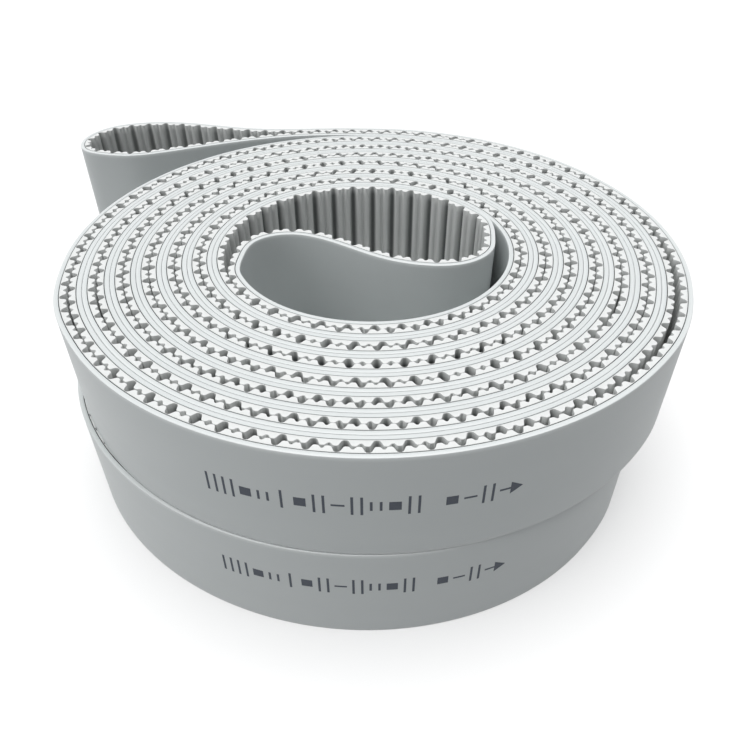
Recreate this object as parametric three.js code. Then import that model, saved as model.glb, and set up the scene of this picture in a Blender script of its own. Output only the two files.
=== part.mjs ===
import * as THREE from 'three';

// Two endless toothed belts, each folded double with its teeth facing each other and rolled up,
// one roll standing on the other. Millimetres, +Z up, the belts standing on their side edges.
// The roll's axis is Z. Angles are in degrees, counter-clockwise from +X, and keep counting up
// through the turns: the fold's inner end is at a small angle and the tail's end at a large one.

// The belt's section, with depths measured from its smooth back towards its teeth.
const BELT_WIDTH = 50;
const TOOTH_PITCH = 10;
const COVER = [0, 1.9];
const CORDS = [1.95, 2.25];
const TOOTH_ROOT = 2.3;
const VALLEY = 2.5;
const TOOTH_TIP = 5;
const WOUND_TEETH = 3.9;

// One tooth of a free loop: where its foot and its tip are, as parts of the pitch.
const FOOT = 0.385;
const TIP = 0.27;

// The roll. The oval is how much longer than wide a turn is, and it grows by each turn.
const FRONT_ANGLE = 2430;
const OUTER_END = 2610;
const STATION = 22.5;
const OVAL = 3.06;
const OVAL_PER_TURN = 0.16;
const BACK_CLEARANCE = 0.1;
const STACK_GAP = 0.2;

// Cuts between the wound stretches and the loops, which leave room for the loops to move.
const INNER_CUT = 1.2;
const OUTER_CUT = 2;

// Where a folded pair gapes: middle angle, half width in degrees and opening.
const OUTER_GAPE = { at: 2500, half: 60, open: 1.8 };
const MIDDLE_GAPE = { at: 1774, half: 14, open: 0.6 };
const LEFT_GAPES = [2360, 2000].map((at) => ({ at, half: 14, open: 0.5 }));

// Each belt's own dimensions. frontRadius is the outermost turn's middle at the front, and with
// turnPitch it gives a belt of 872 or of 960 teeth. tail lengthens the outer loop, and lean
// presses the whole roll oval along a line of its own.
const BELTS = [
  { name: 'lower', innerEnd: -562.5, frontRadius: 118.64, turnPitch: 10.12, tail: -10,
    lean: { size: 3.34, at: -46.2 }, shift: [-8.8, -2.9], gapes: [OUTER_GAPE, MIDDLE_GAPE] },
  { name: 'upper', innerEnd: 202.5, frontRadius: 121.65, turnPitch: 10.2, tail: 0,
    lean: { size: 0, at: 0 }, shift: [0, 0], gapes: [OUTER_GAPE, MIDDLE_GAPE, ...LEFT_GAPES] },
];

// The back's line on the loops. The inner one is drawn for a roll that ends at EYE_ANGLE with
// the radius EYE there, and is turned and scaled to fit the other roll.
const EYE = 57.3;
const EYE_ANGLE = 202.5;
const INNER_LOOP = [
  [-53.8, -9.3], [-51.2, 2.4], [-43.8, 8.8], [-32.5, 10.4], [-19.5, 5.9], [-6.1, -2.3],
  [7, -10.1], [20, -14.6], [33.5, -15.9], [46.5, -12.2], [55.3, -3], [57.8, 7.6],
];
const OUTER_LOOP = [
  [-24, 132.2], [-46, 131.2], [-68, 132.2], [-92, 137.2], [-115, 141.2], [-134, 139.8],
  [-148, 134.2], [-156.8, 124.6], [-159.8, 112.5], [-155.5, 101.4], [-144, 95.9],
  [-128, 94.2], [-112, 98.3], [-92, 105.9], [-68, 114.3], [-45, 119.9], [-24, 122.1],
];
const LOOP_MIDDLE = 126.9;
const TAIL_START = 60;
const TAIL_BLEND = 60;

const POLYURETHANE = { color: 0xdcdede, roughness: 0.55, metalness: 0 };
const TOOTH_SIDE = { color: 0xd0d3d3, roughness: 0.6, metalness: 0 };
const STEEL_CORD = { color: 0x8c9296, roughness: 0.4, metalness: 0.9 };

const radians = THREE.MathUtils.degToRad;
const oval = (angle) => 1 + Math.cos(radians(2 * angle));

function polar(radius, angle) {
  return new THREE.Vector2(radius * Math.cos(radians(angle)), radius * Math.sin(radians(angle)));
}

// Radius of the middle of the folded pair.
function middleRadius(belt, angle) {
  const turns = (angle - FRONT_ANGLE) / 360;
  const lean = belt.lean.size * Math.cos(radians(2 * (angle - belt.lean.at)));
  const swell = (OVAL + OVAL_PER_TURN * turns) * oval(angle) + lean;
  return belt.frontRadius + belt.turnPitch * turns + swell;
}

function halfPair(belt, angle) {
  return (belt.turnPitch + OVAL_PER_TURN * oval(angle) - BACK_CLEARANCE) / 2;
}

// How far the gapes push a turn out: those of the turns inside it, and its own for the strand
// on its outer side.
function pushed(belt, angle, ownToo) {
  let open = 0;
  for (const g of belt.gapes) {
    const turnsLater = Math.round((angle - g.at) / 360);
    const t = (angle - g.at - 360 * turnsLater) / g.half;
    const counts = ownToo ? turnsLater >= 0 : turnsLater > 0;
    if (counts && Math.abs(t) < 1) open += g.open * Math.cos((t * Math.PI) / 2) ** 2;
  }
  return open;
}

// Back of the outer strand, whose teeth face the axis, and of the inner strand, facing it.
const outerBack = (belt, a) => middleRadius(belt, a) + halfPair(belt, a) + pushed(belt, a, true);
const innerBack = (belt, a) => middleRadius(belt, a) - halfPair(belt, a) + pushed(belt, a, false);

// A closed strip along stations, each with a back point, the way to its teeth and two depths.
function ribbon(stations, bottom) {
  const positions = [];
  for (const { point, toTeeth, near, far } of stations) {
    for (const [depth, z] of [[near, 0], [far, 0], [far, BELT_WIDTH], [near, BELT_WIDTH]]) {
      positions.push(point.x + toTeeth.x * depth, point.y + toTeeth.y * depth, bottom + z);
    }
  }
  const index = [];
  for (let i = 0; i + 1 < stations.length; i++) {
    for (let k = 0; k < 4; k++) {
      const a = 4 * i + k;
      const b = 4 * i + ((k + 1) % 4);
      index.push(a, b, b + 4, a, b + 4, a + 4);
    }
  }
  const end = 4 * (stations.length - 1);
  index.push(0, 3, 2, 0, 2, 1, end, end + 1, end + 2, end, end + 2, end + 3);
  const geometry = new THREE.BufferGeometry();
  geometry.setAttribute('position', new THREE.Float32BufferAttribute(positions, 3));
  geometry.setIndex(index);
  geometry.computeVertexNormals();
  return geometry;
}

// Stations of a wound strand. The outer strand runs with the angle, the inner one against it,
// so the teeth are always to the left.
function woundStations(belt, strand, near, far) {
  const stations = [];
  for (let a = belt.innerEnd; a <= OUTER_END + 0.1; a += STATION) {
    const radius = strand === 'outer' ? outerBack(belt, a) : innerBack(belt, a);
    const toTeeth = polar(strand === 'outer' ? -1 : 1, a);
    stations.push({ point: polar(radius, a), toTeeth, near, far });
  }
  return strand === 'outer' ? stations : stations.reverse();
}

// A smooth line through points, from the second to the last but one, as many short steps.
function smoothLine(points) {
  const curve = new THREE.CatmullRomCurve3(
    points.map((p) => new THREE.Vector3(p.x, p.y, 0)), false, 'centripetal');
  const spans = points.length - 1;
  const line = [];
  for (let i = 8; i <= 8 * (spans - 1); i++) {
    const p = curve.getPoint(i / (8 * spans));
    line.push(new THREE.Vector2(p.x, p.y));
  }
  return line;
}

// The back's line round the eye: the free strand's S, the turn back and the stretch that hugs
// the roll, which keeps to the roll's own stations.
function innerLoopLine(belt) {
  const start = belt.innerEnd;
  const scale = innerBack(belt, start) / EYE;
  const turn = radians(start - EYE_ANGLE);
  const axis = new THREE.Vector2();
  const hug = [];
  for (let a = start - 180; a <= start + 0.1; a += STATION) hug.push(polar(outerBack(belt, a), a));
  const free = smoothLine([
    polar(innerBack(belt, start + STATION), start + STATION),
    polar(innerBack(belt, start), start),
    ...INNER_LOOP.map(([x, y]) => new THREE.Vector2(x, y).multiplyScalar(scale).rotateAround(axis, turn)),
    hug[0], hug[1],
  ]);
  return [...free, ...hug.slice(1)];
}

function outerLoopLine(belt) {
  const rise = middleRadius(belt, OUTER_END) - LOOP_MIDDLE;
  const before = OUTER_END - STATION;
  return smoothLine([
    polar(outerBack(belt, before), before),
    polar(outerBack(belt, OUTER_END), OUTER_END),
    ...OUTER_LOOP.map(([x, y]) => {
      const stretch = THREE.MathUtils.clamp((-x - TAIL_START) / TAIL_BLEND, 0, 1);
      return new THREE.Vector2(x - belt.tail * stretch, y + rise);
    }),
    polar(innerBack(belt, OUTER_END), OUTER_END),
    polar(innerBack(belt, before), before),
  ]);
}

// Walks a line and gives the point and the way to the teeth at any length along it.
function measured(line) {
  const lengths = [0];
  for (let i = 1; i < line.length; i++) lengths.push(lengths[i - 1] + line[i].distanceTo(line[i - 1]));
  const pointAt = (s) => {
    let i = 1;
    while (i < line.length - 1 && lengths[i] < s) i++;
    const t = (s - lengths[i - 1]) / (lengths[i] - lengths[i - 1]);
    return line[i - 1].clone().lerp(line[i], t);
  };
  const total = lengths[lengths.length - 1];
  const at = (s) => {
    const along = pointAt(Math.min(s + 1, total)).sub(pointAt(Math.max(s - 1, 0))).normalize();
    return { point: pointAt(s), toTeeth: new THREE.Vector2(-along.y, along.x) };
  };
  return { total, at };
}

// Every layer of a loop bends at the teeth's feet, so the layers stay parallel.
function footStations(line, cut) {
  const { total, at } = measured(line);
  const teeth = Math.floor((total - 2 * cut) / TOOTH_PITCH);
  const first = (total - (teeth - 1) * TOOTH_PITCH) / 2;
  const stations = [at(cut)];
  for (let i = 0; i < teeth; i++) {
    const middleOfTooth = first + i * TOOTH_PITCH;
    stations.push(at(middleOfTooth - FOOT * TOOTH_PITCH), at(middleOfTooth + FOOT * TOOTH_PITCH));
  }
  stations.push(at(total - cut));
  return stations;
}

const plainLayer = (feet, near, far) => feet.map((foot) => ({ ...foot, near, far }));

// A tooth stands between each pair of feet, its tip's two edges on their straight line.
function toothLayer(feet) {
  const stations = [];
  const between = (a, b, t) => ({
    point: a.point.clone().lerp(b.point, t),
    toTeeth: a.toTeeth.clone().lerp(b.toTeeth, t),
    near: TOOTH_ROOT,
    far: TOOTH_TIP,
  });
  const edge = (FOOT - TIP) / (2 * FOOT);
  feet.forEach((foot, i) => {
    stations.push({ ...foot, near: TOOTH_ROOT, far: VALLEY });
    const startsTooth = i % 2 === 1 && i < feet.length - 1;
    if (startsTooth) stations.push(between(foot, feet[i + 1], edge), between(foot, feet[i + 1], 1 - edge));
  });
  return stations;
}

function addPiece(group, name, geometry, look) {
  const piece = new THREE.Mesh(geometry, new THREE.MeshStandardMaterial(look));
  piece.name = name;
  group.add(piece);
}

function buildBelt(belt, bottom) {
  const group = new THREE.Group();
  for (const strand of ['outer', 'inner']) {
    const wound = (near, far) => ribbon(woundStations(belt, strand, near, far), bottom);
    const name = `${belt.name}_${strand}_strand`;
    addPiece(group, `${name}_cover`, wound(...COVER), POLYURETHANE);
    addPiece(group, `${name}_cords`, wound(...CORDS), STEEL_CORD);
    addPiece(group, `${name}_teeth`, wound(TOOTH_ROOT, WOUND_TEETH), TOOTH_SIDE);
  }
  const loops = [
    ['inner_loop', innerLoopLine(belt), INNER_CUT],
    ['outer_loop', outerLoopLine(belt), OUTER_CUT],
  ];
  for (const [loop, line, cut] of loops) {
    const feet = footStations(line, cut);
    const name = `${belt.name}_${loop}`;
    addPiece(group, `${name}_cover`, ribbon(plainLayer(feet, ...COVER), bottom), POLYURETHANE);
    addPiece(group, `${name}_cords`, ribbon(plainLayer(feet, ...CORDS), bottom), STEEL_CORD);
    addPiece(group, `${name}_teeth`, ribbon(toothLayer(feet), bottom), TOOTH_SIDE);
  }
  group.position.set(...belt.shift, 0);
  return group;
}

// The assembly stands on Z = 0, with the middle of its box on the Z axis.
const assembly = new THREE.Group();
BELTS.forEach((belt, i) => assembly.add(buildBelt(belt, i * (BELT_WIDTH + STACK_GAP))));
const middle = new THREE.Box3().setFromObject(assembly).getCenter(new THREE.Vector3());
assembly.position.set(-middle.x, -middle.y, 0);

export default assembly;
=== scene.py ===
import math

import bpy
import numpy as np
from mathutils import Matrix


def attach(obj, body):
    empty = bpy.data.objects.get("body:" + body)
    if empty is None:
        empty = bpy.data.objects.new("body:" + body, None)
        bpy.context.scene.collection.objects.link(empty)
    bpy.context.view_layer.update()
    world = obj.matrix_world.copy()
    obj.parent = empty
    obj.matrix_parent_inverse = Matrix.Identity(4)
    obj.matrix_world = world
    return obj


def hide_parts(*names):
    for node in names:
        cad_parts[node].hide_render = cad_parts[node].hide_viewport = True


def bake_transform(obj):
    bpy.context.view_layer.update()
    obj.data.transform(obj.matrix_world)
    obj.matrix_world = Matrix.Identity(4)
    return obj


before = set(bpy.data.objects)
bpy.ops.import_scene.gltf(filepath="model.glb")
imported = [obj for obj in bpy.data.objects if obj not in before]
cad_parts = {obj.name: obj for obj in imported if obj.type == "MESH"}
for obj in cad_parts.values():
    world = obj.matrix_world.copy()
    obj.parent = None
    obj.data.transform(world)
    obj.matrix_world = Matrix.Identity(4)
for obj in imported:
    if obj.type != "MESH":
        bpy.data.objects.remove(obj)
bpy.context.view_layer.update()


# ---------------------------------------------------------------------------------------------
# The backs. Each of the two endless timing belts has a smooth back of cast, pale grey
# polyurethane, 1.9 mm thick. The belt is folded double with its teeth facing each other and
# rolled up on its side; the free bends at both ends of the fold stand out as loops.
MM = 0.001
BELT_WIDTH = 50.0
BACK_THICKNESS = 1.93
CORD_LINE = 2.1
# Angles are in degrees, counter-clockwise from +X, and keep counting up through the turns.
FRONT_ANGLE = 2430.0
OUTER_END = 2610.0
OVAL = 3.06
OVAL_PER_TURN = 0.16
BACK_CLEARANCE = 0.1
# Where a folded pair gapes: middle angle, half width in degrees and opening.
WIDE_GAPE = (2500.0, 60.0, 1.8)
MIDDLE_GAPE = (1774.0, 14.0, 0.6)
LEFT_GAPES = ((2360.0, 14.0, 0.5), (2000.0, 14.0, 0.5))

BELTS = {
    "lower": {
        "inner_end": -562.5,
        "front_radius": 118.64,
        "turn_pitch": 10.12,
        "tail": -10.0,
        "lean": (3.34, -46.2),
        "gapes": (WIDE_GAPE, MIDDLE_GAPE),
        "axis": (2.621, -10.096),
        "bottom": 0.0,
        "teeth": 960,
    },
    "upper": {
        "inner_end": 202.5,
        "front_radius": 121.65,
        "turn_pitch": 10.2,
        "tail": 0.0,
        "lean": (0.0, 0.0),
        "gapes": (WIDE_GAPE, MIDDLE_GAPE, *LEFT_GAPES),
        "axis": (11.421, -7.196),
        "bottom": 50.2,
        "teeth": 872,
    },
}
STRETCHES = ("outer_strand", "outer_loop", "inner_strand", "inner_loop")
# Degrees between a roll's points, along the belt and where they lead into a loop.
TURN_STEP = 0.1
LEAD_STEP = 11.25

# The back's line on the two loops, in mm from the roll's axis. The inner one is drawn for a
# roll that ends at EYE_ANGLE with EYE_RADIUS there, and is turned and scaled to fit the other.
EYE_ANGLE = 202.5
EYE_RADIUS = 57.3
INNER_LOOP = np.array([
    (-53.8, -9.3), (-51.2, 2.4), (-43.8, 8.8), (-32.5, 10.4), (-19.5, 5.9), (-6.1, -2.3),
    (7, -10.1), (20, -14.6), (33.5, -15.9), (46.5, -12.2), (55.3, -3), (57.8, 7.6),
])
OUTER_LOOP = np.array([
    (-24, 132.2), (-46, 131.2), (-68, 132.2), (-92, 137.2), (-115, 141.2), (-134, 139.8),
    (-148, 134.2), (-156.8, 124.6), (-159.8, 112.5), (-155.5, 101.4), (-144, 95.9),
    (-128, 94.2), (-112, 98.3), (-92, 105.9), (-68, 114.3), (-45, 119.9), (-24, 122.1),
])
LOOP_MIDDLE = 126.9
TAIL_START = 60.0
TAIL_BLEND = 60.0


def oval(angle):
    """One plus the cosine of twice the angle: 2 on the long axis and 0 on the short one."""
    return 1 + np.cos(np.radians(2 * angle))


def middle_radius(belt, angle):
    """The folded pair's middle: the front radius, one pitch for each turn, the oval, and the
    roll's lean, a cosine of twice the angle from a line of its own."""
    turns = (angle - FRONT_ANGLE) / 360
    lean, lean_at = belt["lean"]
    swell = (OVAL + OVAL_PER_TURN * turns) * oval(angle)
    swell = swell + lean * np.cos(np.radians(2 * (angle - lean_at)))
    return belt["front_radius"] + belt["turn_pitch"] * turns + swell


def half_pair(belt, angle):
    """Half the distance between the pair's two backs."""
    return (belt["turn_pitch"] + OVAL_PER_TURN * oval(angle) - BACK_CLEARANCE) / 2


def pushed(belt, angle, own_too):
    """How far the gapes push a turn out: a cosine-squared bump for each gape in a turn inside
    this one, and the turn's own gape as well for the strand on its outer side."""
    open_by = np.zeros_like(angle)
    for at, half, opening in belt["gapes"]:
        turns_later = np.round((angle - at) / 360)
        t = (angle - at - 360 * turns_later) / half
        counts = (turns_later >= 0) if own_too else (turns_later > 0)
        bump = opening * np.cos(np.pi * t / 2) ** 2
        open_by += np.where(counts & (np.abs(t) < 1), bump, 0)
    return open_by


def around(radius, angle):
    """Points at these radii and angles round the roll's axis."""
    return np.stack([radius * np.cos(np.radians(angle)), radius * np.sin(np.radians(angle))], 1)


def outer_back(belt, angle):
    """The back of the strand on the pair's outer side, whose teeth face the axis."""
    radius = middle_radius(belt, angle) + half_pair(belt, angle) + pushed(belt, angle, True)
    return around(radius, angle)


def inner_back(belt, angle):
    """The back of the strand on the pair's inner side, whose teeth face out."""
    radius = middle_radius(belt, angle) - half_pair(belt, angle) + pushed(belt, angle, False)
    return around(radius, angle)


def smooth_line(points, first, last, step=0.2):
    """A natural cubic spline through points, with the square root of each chord as its
    parameter, sampled every step mm or so from point number first to number last."""
    chords = np.hypot(*np.diff(points, axis=0).T)
    knots = np.concatenate([[0], np.cumsum(np.sqrt(chords))])
    gaps = np.diff(knots)
    count = len(points)
    matrix = np.eye(count)
    right = np.zeros((count, 2))
    inside = np.arange(1, count - 1)
    matrix[inside, inside - 1] = gaps[:-1]
    matrix[inside, inside] = 2 * (gaps[:-1] + gaps[1:])
    matrix[inside, inside + 1] = gaps[1:]
    slopes = np.diff(points, axis=0) / gaps[:, None]
    right[1:-1] = 6 * np.diff(slopes, axis=0)
    bends = np.linalg.solve(matrix, right)
    samples = int(chords[first:last].sum() / step)
    at = np.linspace(knots[first], knots[last], samples)
    span = np.clip(np.searchsorted(knots, at, side="right") - 1, 0, count - 2)
    gap = gaps[span][:, None]
    after = (at - knots[span])[:, None]
    before = gap - after
    ends = (points[span] * before + points[span + 1] * after) / gap
    curve = bends[span] * (before ** 3 / gap - gap * before)
    curve += bends[span + 1] * (after ** 3 / gap - gap * after)
    return ends + curve / 6


def inner_loop_line(belt):
    """Round the eye: the free strand's S, its turn back, and half a turn that hugs the roll."""
    start = belt["inner_end"]
    leaving = inner_back(belt, np.array([start + 2 * LEAD_STEP, start]))
    scale = np.hypot(*leaving[1]) / EYE_RADIUS
    turn = np.radians(start - EYE_ANGLE)
    turned = np.array([[np.cos(turn), np.sin(turn)], [-np.sin(turn), np.cos(turn)]])
    hug = outer_back(belt, np.arange(start - 180, start + 2 * LEAD_STEP + TURN_STEP, LEAD_STEP))
    points = np.vstack([leaving, INNER_LOOP @ turned * scale, hug])
    return smooth_line(points, 1, len(points) - 3)


def outer_loop_line(belt):
    """The tail: out from the roll's back, round a bulb and back along the inner strand."""
    leaving = np.array([OUTER_END - LEAD_STEP, OUTER_END])
    rise = middle_radius(belt, OUTER_END) - LOOP_MIDDLE
    bulb = OUTER_LOOP + [0, rise]
    bulb[:, 0] -= belt["tail"] * np.clip((-OUTER_LOOP[:, 0] - TAIL_START) / TAIL_BLEND, 0, 1)
    points = np.vstack([outer_back(belt, leaving), bulb, inner_back(belt, leaving)[::-1]])
    return smooth_line(points, 1, len(points) - 2)


def belt_run(belt):
    """The belt's whole closed line along its back, as x, y, the unit way to its teeth and the
    length along its cords. Its four stretches follow each other, with the teeth on the left."""
    angle = np.arange(belt["inner_end"], OUTER_END + TURN_STEP / 10, TURN_STEP)
    lines = [
        outer_back(belt, angle),
        outer_loop_line(belt),
        inner_back(belt, angle)[::-1],
        inner_loop_line(belt),
    ]
    marks = np.cumsum([0] + [len(line) - 1 for line in lines])
    points = np.vstack([line[:-1] for line in lines])
    ahead = np.roll(points, -1, axis=0)
    behind = np.roll(points, 1, axis=0)
    way = ahead - behind
    way /= np.hypot(*way.T)[:, None]
    to_teeth = np.stack([-way[:, 1], way[:, 0]], 1)
    points = np.vstack([points, points[:1]])
    to_teeth = np.vstack([to_teeth, to_teeth[:1]])
    cords = points + CORD_LINE * to_teeth
    length = np.concatenate([[0], np.cumsum(np.hypot(*np.diff(cords, axis=0).T))])
    limits = {name: (length[marks[i]], length[marks[i + 1]]) for i, name in enumerate(STRETCHES)}
    place = points + np.array(belt["axis"])
    return {"place": place, "to_teeth": to_teeth, "length": length, "limits": limits}


def carried(run, along, depth, height):
    """A closed outline carried along the belt. Its point k at the length s is the back's point
    there, moved depth[s, k] towards the teeth and lifted height[s, k]. Both ends are capped."""
    x = np.interp(along, run["length"], run["place"][:, 0])
    y = np.interp(along, run["length"], run["place"][:, 1])
    way_x = np.interp(along, run["length"], run["to_teeth"][:, 0])
    way_y = np.interp(along, run["length"], run["to_teeth"][:, 1])
    size = np.hypot(way_x, way_y)
    rows, sides = depth.shape
    vertices = np.stack([
        x[:, None] + depth * (way_x / size)[:, None],
        y[:, None] + depth * (way_y / size)[:, None],
        height,
    ], 2).reshape(-1, 3) * MM
    row, side = np.meshgrid(np.arange(rows - 1), np.arange(sides), indexing="ij")
    after = (side + 1) % sides
    corner = [row * sides + side, row * sides + after]
    quads = np.stack([corner[0], corner[1], corner[1] + sides, corner[0] + sides], 2)
    caps = [np.arange(sides)[::-1], np.arange(sides) + (rows - 1) * sides]
    edge = np.hypot(np.roll(depth, -1, axis=1) - depth, np.roll(height, -1, axis=1) - height)
    across = np.concatenate([[0], np.cumsum(edge.max(0))])
    u = np.stack([along[row], along[row], along[row + 1], along[row + 1]], 2)
    v = np.stack([across[side], across[side + 1], across[side + 1], across[side]], 2)
    first_cap = np.stack([depth[0], height[0]], 1)[::-1]
    last_cap = np.stack([depth[-1], height[-1]], 1)
    uv = np.vstack([np.stack([u, v], 3).reshape(-1, 2), first_cap, last_cap]) * MM
    return vertices, quads.reshape(-1, 4), caps, uv


SMOOTH_UP_TO = 40.0


def mesh_piece(name, parts, worn=None):
    """One mesh of one or more carried outlines. Faces that meet at less than SMOOTH_UP_TO
    degrees are smooth. worn is how much each point of the outline is rubbed, from 0 to 1."""
    vertices, corners, starts, uvs = [], [], [], []
    offset = 0
    loops = 0
    for part_vertices, quads, caps, uv in parts:
        vertices.append(part_vertices)
        corners += [quads.ravel() + offset, *[cap + offset for cap in caps]]
        first_cap = loops + quads.size
        starts += [np.arange(loops, first_cap, 4), [first_cap], [first_cap + len(caps[0])]]
        loops = first_cap + len(caps[0]) + len(caps[1])
        uvs.append(uv)
        offset += len(part_vertices)
    vertices = np.vstack(vertices)
    corners = np.concatenate(corners).astype(np.int32)
    starts = np.concatenate(starts).astype(np.int32)
    mesh = bpy.data.meshes.new(name)
    mesh.vertices.add(len(vertices))
    mesh.vertices.foreach_set("co", vertices.astype(np.float32).ravel())
    mesh.loops.add(len(corners))
    mesh.loops.foreach_set("vertex_index", corners)
    mesh.polygons.add(len(starts))
    mesh.polygons.foreach_set("loop_start", starts)
    mesh.update(calc_edges=True)
    mesh.polygons.foreach_set("use_smooth", np.ones(len(starts), bool))
    along_belt_uv = mesh.uv_layers.new(name="along_belt")
    along_belt_uv.uv.foreach_set("vector", np.vstack(uvs).astype(np.float32).ravel())
    if worn is not None:
        rubbed = np.tile(worn, len(vertices) // len(worn)).astype(np.float32)
        mesh.attributes.new("worn", "FLOAT", "POINT").data.foreach_set("value", rubbed)
    mesh.set_sharp_from_angle(angle=math.radians(SMOOTH_UP_TO))
    piece = bpy.data.objects.new(name, mesh)
    bpy.context.scene.collection.objects.link(piece)
    return piece


def rounded_outline(near, far, low, high, near_round, far_round, steps=3):
    """A box's outline in depth and height, with quarter circles for its corners. It runs from
    the back's lower corner to the tooth side and up."""
    quarter = np.linspace(0, math.pi / 2, steps)
    corners = [
        (near + near_round, low + near_round, near_round, math.pi),
        (far - far_round, low + far_round, far_round, 1.5 * math.pi),
        (far - far_round, high - far_round, far_round, 0),
        (near + near_round, high - near_round, near_round, 0.5 * math.pi),
    ]
    depth = np.concatenate([x + r * np.cos(start + quarter) for x, _, r, start in corners])
    height = np.concatenate([y + r * np.sin(start + quarter) for _, y, r, start in corners])
    return depth, height


def stations(run, stretch, spacing):
    """Evenly spaced lengths over one stretch of the belt, spacing mm apart at most."""
    start, end = run["limits"][stretch]
    return np.linspace(start, end, int(np.ceil((end - start) / spacing)) + 1)


def linear(code):
    """An sRGB hex colour as linear RGBA."""
    value = np.array([int(code[i:i + 2], 16) for i in (1, 3, 5)]) / 255
    value = np.where(value <= 0.04045, value / 12.92, ((value + 0.055) / 1.055) ** 2.4)
    return (*value.tolist(), 1.0)


def add(material, kind, settings=None, links=None):
    """Adds one node with its settings, and links other nodes' outputs to its inputs."""
    node = material.node_tree.nodes.new(kind)
    for key, value in (settings or {}).items():
        if isinstance(key, str) and hasattr(node, key):
            setattr(node, key, value)
        else:
            node.inputs[key].default_value = value
    for key, output in (links or {}).items():
        material.node_tree.links.new(output, node.inputs[key])
    return node


def new_material(name):
    """An empty node material and its output node."""
    material = bpy.data.materials.new(name)
    material.use_nodes = True
    material.node_tree.nodes.clear()
    return material, add(material, "ShaderNodeOutputMaterial")


# Cast thermoplastic polyurethane, as demoulded: a satin skin with faint lines along the belt
# from the mould's scraper, a slow drift of tone along its length, and rubbed, paler edges.
BACK_PALE = "#CFD3D3"
BACK_DEEP = "#C4C9C9"
BACK_RUBBED = "#DDDFDF"
TONE_LENGTH = 300.0
TONE_WIDTH = 40.0
SCRAPER_LINE = 0.8
STREAKS_PER_METRE = 12
SKIN_GRAIN = 0.5


def drifting_tone(material, along, deep, pale):
    """Cast polyurethane's colour, which drifts slowly between two tones over the belt."""
    slow = add(material, "ShaderNodeMapping",
               {"Scale": (1 / (TONE_LENGTH * MM), 1 / (TONE_WIDTH * MM), 1)},
               {"Vector": along.outputs["UV"]})
    tone = add(material, "ShaderNodeTexNoise", {"Scale": 1, "Detail": 4}, {"Vector": slow.outputs[0]})
    return add(material, "ShaderNodeMix",
               {"data_type": "RGBA", 6: linear(deep), 7: linear(pale)},
               {0: tone.outputs["Fac"]})


polyurethane_back, surface_out = new_material("cast_polyurethane_back")
along = add(polyurethane_back, "ShaderNodeUVMap", {"uv_map": "along_belt"})
base = drifting_tone(polyurethane_back, along, BACK_DEEP, BACK_PALE)
streak_map = add(polyurethane_back, "ShaderNodeMapping",
                 {"Scale": (STREAKS_PER_METRE, 1 / (SCRAPER_LINE * MM), 1)},
                 {"Vector": along.outputs["UV"]})
streak = add(polyurethane_back, "ShaderNodeTexNoise", {"Scale": 1, "Detail": 3},
             {"Vector": streak_map.outputs[0]})
grain = add(polyurethane_back, "ShaderNodeTexNoise", {"Scale": 1 / (SKIN_GRAIN * MM), "Detail": 2},
            {"Vector": along.outputs["UV"]})
worn = add(polyurethane_back, "ShaderNodeAttribute", {"attribute_name": "worn"})
rubbed = add(polyurethane_back, "ShaderNodeMath", {"operation": "MULTIPLY"},
             {0: worn.outputs["Fac"], 1: streak.outputs["Fac"]})
colour = add(polyurethane_back, "ShaderNodeMix", {"data_type": "RGBA", 7: linear(BACK_RUBBED)},
             {0: rubbed.outputs[0], 6: base.outputs[2]})
rough = add(polyurethane_back, "ShaderNodeMapRange", {"To Min": 0.36, "To Max": 0.52},
            {"Value": streak.outputs["Fac"]})
relief = add(polyurethane_back, "ShaderNodeMath", {"operation": "ADD"},
             {0: streak.outputs["Fac"], 1: grain.outputs["Fac"]})
bump = add(polyurethane_back, "ShaderNodeBump", {"Strength": 0.12, "Distance": 0.0002},
           {"Height": relief.outputs[0]})
shader = add(polyurethane_back, "ShaderNodeBsdfPrincipled", {"IOR": 1.5, "Specular IOR Level": 0.45},
             {"Base Color": colour.outputs[2], "Roughness": rough.outputs[0], "Normal": bump.outputs[0]})
polyurethane_back.node_tree.links.new(shader.outputs[0], surface_out.inputs["Surface"])


def fasten(piece, name, stretch):
    """Fastens a piece of a belt: wound stretches and the lower eye loop to their roll. The other
    loops have their place baked into the mesh and are fastened to nothing."""
    roll = f"{name}_roll"
    if stretch == "outer_loop":
        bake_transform(piece)
    elif stretch == "inner_loop" and name == "upper":
        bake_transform(piece)
    else:
        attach(piece, roll)


BACK_ROUNDING = 0.4
CUT_ROUNDING = 0.12
RUB_WIDTH = 2.0
BACK_SPACING = {"outer_strand": 2.5, "inner_strand": 2.5, "outer_loop": 1.25, "inner_loop": 1.25}

back_depth, back_height = rounded_outline(0, BACK_THICKNESS, 0, BELT_WIDTH, BACK_ROUNDING, CUT_ROUNDING)
# Two more points on the back keep the rubbed band to the edges. The outline then has three points
# on the back's lower corner, six on the side of the cords, three on its upper corner, and these two.
back_depth = np.concatenate([back_depth, [0, 0]])
back_height = np.concatenate([back_height, [BELT_WIDTH - RUB_WIDTH, RUB_WIDTH]])
back_worn = np.concatenate([[1, 1, 0.7], np.full(6, 0.1), [0.7, 1, 1], [0, 0]])
runs = {name: belt_run(belt) for name, belt in BELTS.items()}
for name, run in runs.items():
    for stretch in STRETCHES:
        along_belt = stations(run, stretch, BACK_SPACING[stretch])
        shape = (len(along_belt), len(back_depth))
        part = carried(run, along_belt, np.broadcast_to(back_depth, shape),
                       np.broadcast_to(back_height + BELTS[name]["bottom"], shape))
        piece = mesh_piece(f"{name}_{stretch}_back", [part], back_worn)
        piece.data.materials.append(polyurethane_back)
        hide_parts(f"{name}_{stretch}_cover")
        fasten(piece, name, stretch)


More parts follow.
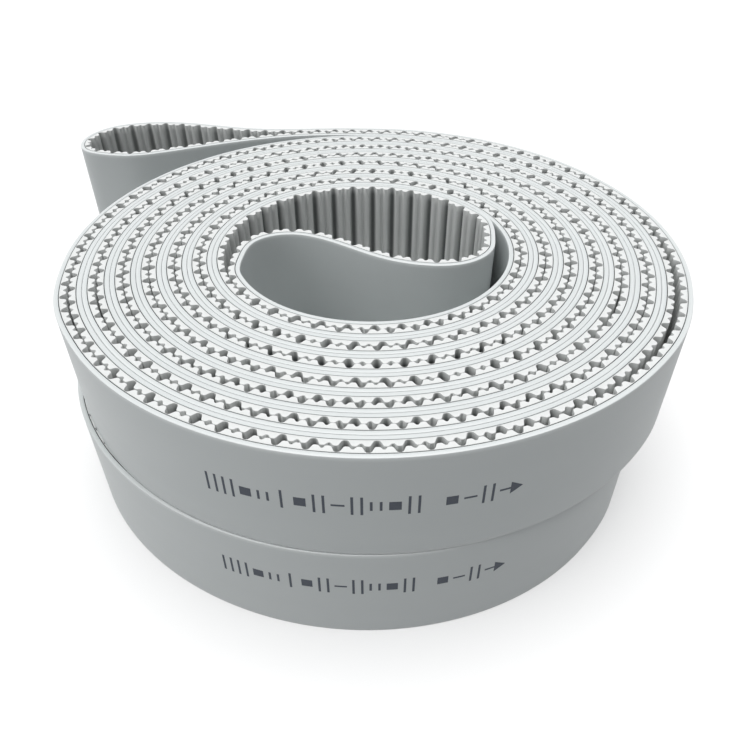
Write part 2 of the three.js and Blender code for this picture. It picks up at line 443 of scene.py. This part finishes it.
# ---------------------------------------------------------------------------------------------
# The cords. Steel tension cords lie side by side across the whole width, 2.1 mm from the back.
# They are cut back a little where the belt was slit to width, and show there as a dark line.
CORD_NEAR = 1.95
CORD_FAR = 2.25
CORD_SET_BACK = 0.35
CORD_COLOUR = "#4A4E50"
CORD_DULL = "#2E3133"
STRAND_TWIST = 1.5
TWIST_SLANT = 0.6

steel_cords, surface_out = new_material("stranded_steel_cord")
along = add(steel_cords, "ShaderNodeUVMap", {"uv_map": "along_belt"})
# Twisted wire, dulled by the polyurethane that wets it: a short slanting grain along the cord.
twist_map = add(steel_cords, "ShaderNodeMapping",
                {"Scale": (1 / (STRAND_TWIST * MM), 1 / (STRAND_TWIST * MM), 1),
                 "Rotation": (0, 0, TWIST_SLANT)},
                {"Vector": along.outputs["UV"]})
twist = add(steel_cords, "ShaderNodeTexWave", {"Scale": 1, "Distortion": 1.5},
            {"Vector": twist_map.outputs[0]})
colour = add(steel_cords, "ShaderNodeMix",
             {"data_type": "RGBA", 6: linear(CORD_DULL), 7: linear(CORD_COLOUR)},
             {0: twist.outputs["Fac"]})
rough = add(steel_cords, "ShaderNodeMapRange", {"To Min": 0.45, "To Max": 0.7},
            {"Value": twist.outputs["Fac"]})
bump = add(steel_cords, "ShaderNodeBump", {"Strength": 0.4, "Distance": 0.0002},
           {"Height": twist.outputs["Fac"]})
shader = add(steel_cords, "ShaderNodeBsdfPrincipled", {"Metallic": 0.6},
             {"Base Color": colour.outputs[2], "Roughness": rough.outputs[0], "Normal": bump.outputs[0]})
steel_cords.node_tree.links.new(shader.outputs[0], surface_out.inputs["Surface"])

cord_depth = np.array([CORD_NEAR, CORD_FAR, CORD_FAR, CORD_NEAR])
cord_top = BELT_WIDTH - CORD_SET_BACK
cord_height = np.array([CORD_SET_BACK, CORD_SET_BACK, cord_top, cord_top])
for name, run in runs.items():
    for stretch in STRETCHES:
        along_belt = stations(run, stretch, BACK_SPACING[stretch])
        shape = (len(along_belt), len(cord_depth))
        part = carried(run, along_belt, np.broadcast_to(cord_depth, shape),
                       np.broadcast_to(cord_height + BELTS[name]["bottom"], shape))
        piece = mesh_piece(f"{name}_{stretch}_cords", [part])
        piece.data.materials.append(steel_cords)
        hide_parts(f"{name}_{stretch}_cords")
        fasten(piece, name, stretch)


# ---------------------------------------------------------------------------------------------
# The teeth. They are cast in one with the belt: trapezoids with a notch in the crown of each,
# ten millimetres apart, whose cut ends show on the belt's side edges.
TOOTH_ROOT = 2.27
# Half a tooth from its middle to the valley: distance from the middle in mm at the nominal
# pitch, and depth from the back. The notch comes first, then the crown, flank and valley.
HALF_TOOTH = np.array([
    (0, 3.85), (0.4, 3.92), (0.95, 4.6), (1.2, 4.88), (1.6, 5.0), (2.5, 5.0), (2.82, 4.9),
    (3.06, 4.64), (3.7, 3.32), (3.93, 2.94), (4.25, 2.65), (4.62, 2.5),
])
CROWN = 5.0
VALLEY = 2.5
NOMINAL_PITCH = 10.0
# Painted shade in the hollows between the teeth: how much a stretch's valleys get at the belt's edges.
# Then, from the edge band's depth in mm inside them, how much its teeth get all over, and how much more in
# the valleys.
SHADE_EDGE_BAND = 4.0
PAINTED_SHADE = {
    "outer_strand": (0.2, 0.05, 0.9),
    "inner_strand": (0.2, 0.05, 0.9),
    "outer_loop": (0.35, 0, 0.7),
    "inner_loop": (0.4, 0, 0.9),
}
TOOTH_ROUNDING = 0.15
TOOTH_PALE = "#D8DAD9"
TOOTH_DEEP = "#CDCFCE"
TOOTH_RUBBED = "#DFE0E0"
# The dark colour of the painted shade in the tooth hollows.
PAINTED_SHADE_COLOUR = "#464B4B"
MOULD_LINE = 0.6
LINE_BREAKS_PER_METRE = 60

# The same polyurethane, against the mould's cut steel: a little duller, with fine lines across
# the belt that the cutter left in the mould's grooves. Painted shade darkens the valleys
# between the teeth, and the teeth deeper inside the roll, where the hollows are shaded.
polyurethane_teeth, surface_out = new_material("moulded_polyurethane_teeth")
along = add(polyurethane_teeth, "ShaderNodeUVMap", {"uv_map": "along_belt"})
base = drifting_tone(polyurethane_teeth, along, TOOTH_DEEP, TOOTH_PALE)
cutter_map = add(polyurethane_teeth, "ShaderNodeMapping",
                 {"Scale": (1 / (MOULD_LINE * MM), LINE_BREAKS_PER_METRE, 1)},
                 {"Vector": along.outputs["UV"]})
cutter = add(polyurethane_teeth, "ShaderNodeTexNoise", {"Scale": 1, "Detail": 2},
             {"Vector": cutter_map.outputs[0]})
# Painted shade: the point attribute mixes the dark colour in where the hollows are shaded.
painted_shade = add(polyurethane_teeth, "ShaderNodeAttribute", {"attribute_name": "painted_shade"})
shaded_base = add(polyurethane_teeth, "ShaderNodeMix", {"data_type": "RGBA", 7: linear(PAINTED_SHADE_COLOUR)},
            {0: painted_shade.outputs["Fac"], 6: base.outputs[2]})
worn = add(polyurethane_teeth, "ShaderNodeAttribute", {"attribute_name": "worn"})
rubbed = add(polyurethane_teeth, "ShaderNodeMath", {"operation": "MULTIPLY"},
             {0: worn.outputs["Fac"], 1: cutter.outputs["Fac"]})
colour = add(polyurethane_teeth, "ShaderNodeMix", {"data_type": "RGBA", 7: linear(TOOTH_RUBBED)},
             {0: rubbed.outputs[0], 6: shaded_base.outputs[2]})
rough = add(polyurethane_teeth, "ShaderNodeMapRange", {"To Min": 0.42, "To Max": 0.6},
            {"Value": cutter.outputs["Fac"]})
bump = add(polyurethane_teeth, "ShaderNodeBump", {"Strength": 0.15, "Distance": 0.0002},
           {"Height": cutter.outputs["Fac"]})
shader = add(polyurethane_teeth, "ShaderNodeBsdfPrincipled", {"IOR": 1.5, "Specular IOR Level": 0.45},
             {"Base Color": colour.outputs[2], "Roughness": rough.outputs[0], "Normal": bump.outputs[0]})
polyurethane_teeth.node_tree.links.new(shader.outputs[0], surface_out.inputs["Surface"])

# A point of the teeth nearer than this to a stretch's end gives way to the end itself.
JOIN_CLEARANCE = 0.02


def tooth_stations(run, stretch, teeth):
    """Lengths along one stretch and the depth of the tooth side at each. The tooth's half
    outline is mirrored and repeated at the true pitch, the belt's length over its teeth."""
    pitch = run["length"][-1] / teeth
    start, end = run["limits"][stretch]
    offset = np.concatenate([-HALF_TOOTH[:0:-1, 0], HALF_TOOTH[:, 0]]) * pitch / NOMINAL_PITCH
    depth = np.concatenate([HALF_TOOTH[:0:-1, 1], HALF_TOOTH[:, 1]])
    middles = np.arange(np.floor(start / pitch) - 1, np.ceil(end / pitch) + 2) * pitch
    along_all = (middles[:, None] + offset).ravel()
    depth_all = np.tile(depth, len(middles))
    inside = (along_all > start + JOIN_CLEARANCE) & (along_all < end - JOIN_CLEARANCE)
    along_belt = np.concatenate([[start], along_all[inside], [end]])
    return along_belt, np.interp(along_belt, along_all, depth_all)


for name, run in runs.items():
    bottom = BELTS[name]["bottom"]
    top = bottom + BELT_WIDTH
    for stretch in STRETCHES:
        along_belt, far = tooth_stations(run, stretch, BELTS[name]["teeth"])
        root = np.full_like(far, TOOTH_ROOT)
        eased = far - TOOTH_ROUNDING
        depth = np.stack([root, eased, far, far, far, far, eased, root], 1)
        height = np.array([
            bottom, bottom, bottom + TOOTH_ROUNDING, bottom + SHADE_EDGE_BAND,
            top - SHADE_EDGE_BAND, top - TOOTH_ROUNDING, top, top,
        ])
        part = carried(run, along_belt, depth, np.broadcast_to(height, depth.shape))
        piece = mesh_piece(f"{name}_{stretch}_toothing", [part], np.array([0, 1, 0, 0, 0, 0, 1, 0]))
        # The cube keeps the painted shade to the valley's bottom, off the flanks and the notch.
        valley = ((CROWN - far) / (CROWN - VALLEY)) ** 3
        at_edge, all_over, in_valley = PAINTED_SHADE[stretch]
        shade_amount = np.zeros(depth.shape, np.float32)
        shade_amount[:, [2, 5]] = (at_edge * valley)[:, None]
        shade_amount[:, 3:5] = (all_over + in_valley * valley)[:, None]
        piece.data.attributes.new("painted_shade", "FLOAT", "POINT").data.foreach_set("value", shade_amount.ravel())
        piece.data.materials.append(polyurethane_teeth)
        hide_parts(f"{name}_{stretch}_teeth")
        fasten(piece, name, stretch)


# ---------------------------------------------------------------------------------------------
# The ink marks. A row of dark slate ink is jetted on the back of each belt as it leaves the
# line: here a plain scale of ticks and blocks with an arrow for the running direction.
INK_COLOUR = "#3A3F49"
INK_THIN = "#565C66"
INK_LIFT = 0.03
INK_SUNK = 0.02
DROP_SIZE = 0.4
MARK_HEIGHT = 9.0
STROKE = 0.9
MARK_STEP = 1.0

ink, surface_out = new_material("slate_jet_ink")
place = add(ink, "ShaderNodeTexCoord")
# Dried pigment ink, matt, laid down in drops that leave its cover uneven.
drops = add(ink, "ShaderNodeTexNoise", {"Scale": 1 / (DROP_SIZE * MM), "Detail": 2},
            {"Vector": place.outputs["Object"]})
colour = add(ink, "ShaderNodeMix", {"data_type": "RGBA", 6: linear(INK_COLOUR), 7: linear(INK_THIN)},
             {0: drops.outputs["Fac"]})
rough = add(ink, "ShaderNodeMapRange", {"To Min": 0.5, "To Max": 0.8}, {"Value": drops.outputs["Fac"]})
bump = add(ink, "ShaderNodeBump", {"Strength": 0.2, "Distance": 0.00005}, {"Height": drops.outputs["Fac"]})
shader = add(ink, "ShaderNodeBsdfPrincipled", {"IOR": 1.45},
             {"Base Color": colour.outputs[2], "Roughness": rough.outputs[0], "Normal": bump.outputs[0]})
ink.node_tree.links.new(shader.outputs[0], surface_out.inputs["Surface"])


def mark(run, start, lows, highs, width):
    """One mark of ink on the back, from start for width mm along the belt. lows and highs are
    where its lower and its upper edge begin and end."""
    along_belt = np.linspace(start, start + width, max(2, int(width / MARK_STEP) + 2))
    share = np.linspace(0, 1, len(along_belt))
    low = np.interp(share, (0, 1), lows)
    high = np.interp(share, (0, 1), highs)
    depth = np.tile([-INK_LIFT, INK_SUNK, INK_SUNK, -INK_LIFT], (len(along_belt), 1))
    return carried(run, along_belt, depth, np.stack([low, low, high, high], 1))


# A row is set in cells. Each symbol is its strokes' left, right, low and high edges, as shares
# of the cell's width and height.
CELL_WIDTH = 4.6
CELL_STEP = 6.3
SYMBOLS = {
    "tick": [(0.4, 0.6, 0, 1)],
    "pair": [(0.05, 0.25, 0, 1), (0.75, 0.95, 0, 1)],
    "short": [(0.05, 0.25, 0.25, 0.75), (0.75, 0.95, 0.25, 0.75)],
    "block": [(0.05, 0.95, 0.27, 0.73)],
    "dash": [(0, 1, 0.45, 0.55)],
    "gap": [],
}
ROW = (
    "pair", "pair", "block", "short", "tick", "block", "pair", "dash", "pair", "short",
    "block", "pair", "gap", "block", "dash", "pair",
)
# The arrow's shaft and head, how far the head stays inside the row, and half its tip's height.
ARROW_SHAFT = 4.0
ARROW_HEAD = 4.5
HEAD_NARROWER = 1.5
TIP_HALF = 0.1
WELL_IN_FRONT = 1000.0
# Where each row's middle is: mm along the belt past the front, and mm above the belt's edge.
ROW_MIDDLE = {"upper": (-2.0, 26.8), "lower": (0.2, 30.5)}

for name, (past_front, above) in ROW_MIDDLE.items():
    run = runs[name]
    from_front = run["place"] - [BELTS[name]["axis"][0], -WELL_IN_FRONT]
    front = run["length"][np.argmin(np.hypot(*from_front.T))]
    at = front + past_front - (len(ROW) * CELL_STEP + ARROW_SHAFT + ARROW_HEAD) / 2
    low = BELTS[name]["bottom"] + above - MARK_HEIGHT / 2
    marks = []
    for symbol in ROW:
        for left, right, under, over in SYMBOLS[symbol]:
            lows = [low + under * MARK_HEIGHT] * 2
            highs = [low + over * MARK_HEIGHT] * 2
            marks.append(mark(run, at + left * CELL_WIDTH, lows, highs, (right - left) * CELL_WIDTH))
        at += CELL_STEP
    middle = low + MARK_HEIGHT / 2
    marks.append(mark(run, at, [middle - STROKE / 2] * 2, [middle + STROKE / 2] * 2, ARROW_SHAFT))
    head_lows = [low + HEAD_NARROWER, middle - TIP_HALF]
    head_highs = [low + MARK_HEIGHT - HEAD_NARROWER, middle + TIP_HALF]
    marks.append(mark(run, at + ARROW_SHAFT, head_lows, head_highs, ARROW_HEAD))
    piece = mesh_piece(f"{name}_ink_marks", marks)
    piece.data.materials.append(ink)
    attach(piece, f"{name}_roll")


# ---------------------------------------------------------------------------------------------
# The floor, the light and the camera. A plain white paper sweep lies under the rolls and curves
# up all round, lit from above by one broad, soft light with a weak fill from the left.
# The sweep's sizes are in metres.
FLOOR_COLOUR = "#CACACA"
FLOOR_GLOW = 0.35
FLAT_REACH = 3.0
CURVE_REACH = 3.0
RIM_HEIGHT = 5.0
MIDDLE_REACH = 0.001
CURVE_STEPS = 13
SPOKES = 96
SKY = "#F2F5F7"
SKY_STRENGTH = 0.2
BOUNCE_STRENGTH = 0.38
HORIZON_BAND = 0.15

# The sweep's section is flat, then a quarter ellipse, turned once round the rolls. One small
# face closes it in the middle.
rise = np.linspace(0, math.pi / 2, CURVE_STEPS)
section_out = np.concatenate([[MIDDLE_REACH], FLAT_REACH + CURVE_REACH * np.sin(rise)])
section_up = np.concatenate([[0], RIM_HEIGHT * (1 - np.cos(rise))])
round_angle = np.linspace(0, 2 * math.pi, SPOKES, endpoint=False)
floor_points = np.stack([
    section_out[:, None] * np.cos(round_angle),
    section_out[:, None] * np.sin(round_angle),
    np.broadcast_to(section_up[:, None], (len(section_up), SPOKES)),
], 2).reshape(-1, 3)
ring, spoke = np.meshgrid(np.arange(len(section_up) - 1), np.arange(SPOKES), indexing="ij")
near = ring * SPOKES + spoke
near_next = ring * SPOKES + (spoke + 1) % SPOKES
floor_faces = np.stack([near, near + SPOKES, near_next + SPOKES, near_next], 2).reshape(-1, 4)
floor_mesh = bpy.data.meshes.new("floor")
floor_mesh.from_pydata(floor_points.tolist(), [], [*floor_faces.tolist(), list(range(SPOKES))])
floor_mesh.polygons.foreach_set("use_smooth", np.ones(len(floor_mesh.polygons), bool))
floor = bpy.data.objects.new("floor", floor_mesh)
bpy.context.scene.collection.objects.link(floor)
white_sweep, surface_out = new_material("white_paper_sweep")
shader = add(white_sweep, "ShaderNodeBsdfPrincipled", {
    "Base Color": linear(FLOOR_COLOUR),
    "Roughness": 0.9,
    "Emission Color": linear("#FFFFFF"),
    "Emission Strength": FLOOR_GLOW,
})
white_sweep.node_tree.links.new(shader.outputs[0], surface_out.inputs["Surface"])
floor_mesh.materials.append(white_sweep)
# The sweep doesn't take part in the light on the belts; the surround does that for it.
floor.visible_diffuse = False
floor.visible_shadow = False

# Each light's strength, its width in the sky in degrees, and its tilts about X and Y.
LIGHTS = {
    "overhead": (3.25, 55.0, -4.0, 0.0),
    "left_fill": (0.75, 60.0, 25.0, -62.0),
}
for light_name, (strength, spread, tilt_x, tilt_y) in LIGHTS.items():
    lamp = bpy.data.lights.new(light_name, "SUN")
    lamp.energy = strength
    lamp.angle = math.radians(spread)
    light = bpy.data.objects.new(light_name, lamp)
    light.rotation_euler = (math.radians(tilt_x), math.radians(tilt_y), 0)
    bpy.context.scene.collection.objects.link(light)

# Below the horizon the surround is brighter, as the white sweep throws light back up.
world = bpy.data.worlds.new("studio")
world.use_nodes = True
world.node_tree.nodes.clear()
direction = add(world, "ShaderNodeTexCoord")
up = add(world, "ShaderNodeSeparateXYZ", links={0: direction.outputs["Generated"]})
strength = add(world, "ShaderNodeMapRange",
               {"From Min": -HORIZON_BAND, "From Max": HORIZON_BAND,
                "To Min": BOUNCE_STRENGTH, "To Max": SKY_STRENGTH},
               {"Value": up.outputs["Z"]})
background = add(world, "ShaderNodeBackground", {"Color": linear(SKY)}, {"Strength": strength.outputs[0]})
add(world, "ShaderNodeOutputWorld", links={"Surface": background.outputs[0]})
bpy.context.scene.world = world
bpy.context.scene.view_settings.view_transform = "Standard"

# The camera looks down at the rolls from the front. Its place is in mm and its angles in degrees,
# and FOCAL_SHARE is its focal length over its sensor's width.
CAMERA_PLACE = (14.913, -287.259, 265.402)
CAMERA_DOWN = 41.19
CAMERA_ROLL = 0.075
FOCAL_SHARE = 0.96818
SENSOR = 36.0
SHIFT_UP = 0.01048

lens = bpy.data.cameras.new("camera")
lens.sensor_width = SENSOR
lens.lens = FOCAL_SHARE * SENSOR
lens.shift_y = SHIFT_UP
lens.clip_start = 0.01
camera = bpy.data.objects.new("camera", lens)
tilt = Matrix.Rotation(math.radians(90 - CAMERA_DOWN), 4, "X")
roll = Matrix.Rotation(math.radians(CAMERA_ROLL), 4, "Z")
camera.matrix_world = Matrix.Translation([value * MM for value in CAMERA_PLACE]) @ tilt @ roll
bpy.context.scene.collection.objects.link(camera)
bpy.context.scene.camera = camera
